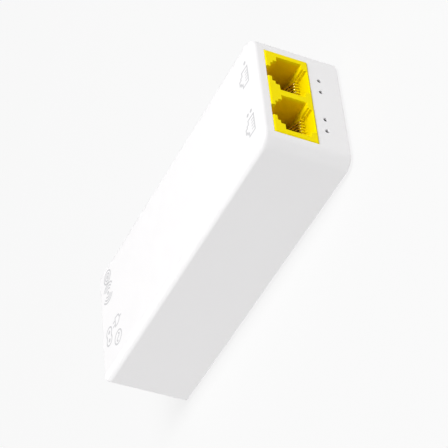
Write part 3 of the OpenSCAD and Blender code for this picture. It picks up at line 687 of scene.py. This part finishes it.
def make_choke_windings(copper):
    """Turns of enamelled wire round both halves of the choke's ring, and down to their legs."""
    low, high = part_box("choke_core")
    centre = (low + high) / 2
    wire = 0.33 * MM
    gap = 0.05 * MM
    outer = (high.x - low.x) / 2 + wire + gap
    inner = outer * 0.51 - 2 * wire - 2 * gap
    half = (high.y - low.y) / 2 + wire + gap
    board_low, board_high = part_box("circuit_board")
    legs = leg_tips("choke_windings", board_low.z - 1.0 * MM)
    turns = 9
    steps = 16
    start, end = math.radians(-56), math.radians(56)
    whole = ([], [])
    for side in (1, -1):
        path = []
        for k in range(turns * steps + 1):
            round_turn = 2 * math.pi * k / steps
            at = start + (end - start) * k / (turns * steps)
            c, s = math.cos(round_turn), math.sin(round_turn)
            across = max(-1, min(1, 1.35 * c)) if abs(c) < 0.95 else math.copysign(1, c)
            along = max(-1, min(1, 1.35 * s)) if abs(s) < 0.95 else math.copysign(1, s)
            radius = (outer + inner) / 2 + across * (outer - inner) / 2
            path.append(Vector((centre.x + side * radius * math.cos(at), centre.y + along * half,
                                centre.z + radius * math.sin(at))))
        mine = [leg for leg in legs if (leg.x - centre.x) * side > 0]
        near, far = sorted(mine, key=lambda leg: leg.y)
        first = [(near.x, near.y, board_low.z - 2.0 * MM), (near.x, near.y, board_high.z + 0.8 * MM)]
        add_shape(whole, tube([Vector(p) for p in first] + path[2:], wire))
        top = path[-1]
        bulge = far.y + 0.55 * MM
        last = [
            (far.x, far.y, board_low.z - 2.0 * MM), (far.x, far.y, board_high.z + 1.2 * MM),
            (far.x, bulge, (board_high.z + top.z) / 2), (top.x, bulge, top.z - 0.2 * MM), top,
        ]
        add_shape(whole, tube([Vector(p) for p in last], wire))
    mesh = mesh_from("choke_wire", *whole)
    new_piece("choke_wire", mesh, copper, replaces="choke_windings")


def make_cans():
    """Sleeved electrolytic cans: a large one lies with its legs at its low-y end, two small ones stand."""
    film, stripe = (0.012, 0.02, 0.07), (0.62, 0.64, 0.66)
    low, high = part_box("reservoir_capacitor")
    lying = sleeved("reservoir_sleeve", film, stripe, (low.x + high.x) / 2, 1.3 * MM)
    lying.tin_where(lying.math("LESS_THAN", lying.axis(1), low.y + 1.45 * MM))
    paint(lying, "reservoir_capacitor", width=0.08 * MM)
    low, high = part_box("output_capacitors")
    standing = sleeved("output_sleeve", film, stripe, (low.x + high.x) / 2, 0.8 * MM)
    paint(on_legs(standing), "output_capacitors", width=0.08 * MM)


def make_inside():
    paint(board_mask(), "circuit_board", width=0.04 * MM)
    paint(insulating_paper(), "insulation_sheet", width=0.03 * MM)
    paint(chip_epoxy("chip_epoxy"), "modem_chip", "port_chips", "memory_chip", width=0.04 * MM)
    for node, reach in (
        ("bridge_rectifier", 1),
        ("power_controller_chip", 1.05),
        ("output_diode", 0.5),
        ("flash_chip", 1),
    ):
        paint(leaded_epoxy(node, reach * MM), node, width=0.04 * MM)
    paint(leaded_epoxy("port_filters", 1.2 * MM, apart=10.4 * MM), "port_filters", width=0.04 * MM)
    paint(plated("tinned_copper", TIN, 0.28), "transformer_pins", width=0.03 * MM)
    paint(plated("frame_zinc", (0.62, 0.62, 0.60), 0.3, (1, 1, 0.2)), "switch_frame", width=0.04 * MM)
    paint(plated("crystal_can", (0.78, 0.77, 0.74), 0.22, (0.2, 1, 1)), "crystal")
    aluminium = plated("fin_aluminium", (0.76, 0.77, 0.78), 0.35, (1, 0.1, 1), depth=0.003 * MM)
    paint(aluminium, "heatsink", width=0.08 * MM)
    switch_black = moulded("switch_black", (0.02, 0.02, 0.02), 0.45)
    paint(on_legs(switch_black, 0.97 * MM), "switch_body", width=0.06 * MM)
    paint(moulded("plunger_black", (0.02, 0.02, 0.02), 0.4), "switch_plunger", width=0.06 * MM)
    paint(moulded("bobbin_grey", (0.035, 0.035, 0.038), 0.5), "transformer_bobbin", width=0.06 * MM)
    paint(optocoupler_epoxy(), "optocoupler", width=0.08 * MM)
    for node, colour, roughness, width in (
        ("fuse", (0.20, 0.085, 0.03), 0.42, 0.15),
        ("line_coil", (0.06, 0.065, 0.04), 0.5, 0.1),
        ("filter_capacitor", (0.80, 0.55, 0.05), 0.3, 0.15),
        ("coupling_capacitor", (0.36, 0.04, 0.02), 0.3, 0.15),
    ):
        paint(on_legs(moulded(node + "_box", colour, roughness)), node, width=width * MM, segments=3)
    for node, colour in (
        ("thermistor", (0.02, 0.10, 0.035)),
        ("varistor", (0.015, 0.07, 0.30)),
        ("bridging_capacitor", (0.03, 0.17, 0.42)),
    ):
        paint(on_legs(lacquered(node + "_lacquer", colour), 1.35 * MM), node, width=0.1 * MM)
    make_cans()
    ferrite = fired("ferrite", (0.022, 0.022, 0.025), (0.06, 0.06, 0.065))
    paint(ferrite, "choke_core", "transformer_core", "power_coil", width=0.12 * MM)
    paint(taped("coil_tape", (0.82, 0.62, 0.06)), "transformer_windings", width=0.1 * MM)
    putty = moulded("thermal_grey", (0.36, 0.38, 0.40), 0.85, grain=0.4 * MM, depth=0.03 * MM)
    paint(putty, "thermal_pad")
    ceramic = fired("chip_ceramic", (0.45, 0.30, 0.16), (0.6, 0.45, 0.3), 0.5, 0.1 * MM)
    paint(ceramic, "chip_passives", width=0.04 * MM)
    make_choke_windings(enamelled("enamelled_copper", (0.62, 0.24, 0.07)))
    make_solder()


# ---------------------------------------------------------------- light and floor


def make_floor():
    """A large backlit sheet of pale paper, so bright that the casing hardly shades it."""
    half = 3.0
    corners = [(-half, -half, 0), (half, -half, 0), (half, half, 0), (-half, half, 0)]
    mesh = mesh_from("floor", corners, [(0, 1, 2, 3)], smooth=False)
    floor = bpy.data.objects.new("floor", mesh)
    SCENE.collection.objects.link(floor)
    s = Shader("floor_paper", 0.9, Specular_IOR_Level=0.0)
    s.surface.inputs["Emission Color"].default_value = (1, 1, 1, 1)
    s.surface.inputs["Emission Strength"].default_value = 0.81
    s.feed("Base Color", s.blend(s.noise(40 * MM, 2), (0.110, 0.110, 0.110), (0.114, 0.114, 0.114)))
    mesh.materials.append(s.material)


def make_area_light(name, place, size, power, target=(0, 0, 0.01)):
    data = bpy.data.lights.new(name, "AREA")
    data.shape = "DISK"
    data.size = size
    data.energy = power
    light = bpy.data.objects.new(name, data)
    light.location = place
    light.rotation_mode = "QUATERNION"
    light.rotation_quaternion = (Vector(target) - Vector(place)).to_track_quat("-Z", "Y")
    SCENE.collection.objects.link(light)


def make_light():
    """A pale room, soft lights from overhead to the port end, and a low one at the left back."""
    world = bpy.data.worlds.new("room")
    world.use_nodes = True
    background = world.node_tree.nodes["Background"]
    background.inputs["Color"].default_value = (1, 1, 1, 1)
    background.inputs["Strength"].default_value = 0.12
    SCENE.world = world
    make_area_light("overhead", (0, 0, 2.4), 1.4, 20)
    make_area_light("key_high", (0, -0.72, 1.98), 0.9, 23)
    make_area_light("key_low", (0, -1.2, 1.72), 0.9, 16.2)
    make_area_light("left_back", (-1.5, 0.9, 0.25), 0.8, 10.5)
    SCENE.view_settings.view_transform = "Standard"
    SCENE.view_settings.look = "None"


make_camera()
make_floor()
make_light()
make_outside()
make_inside()
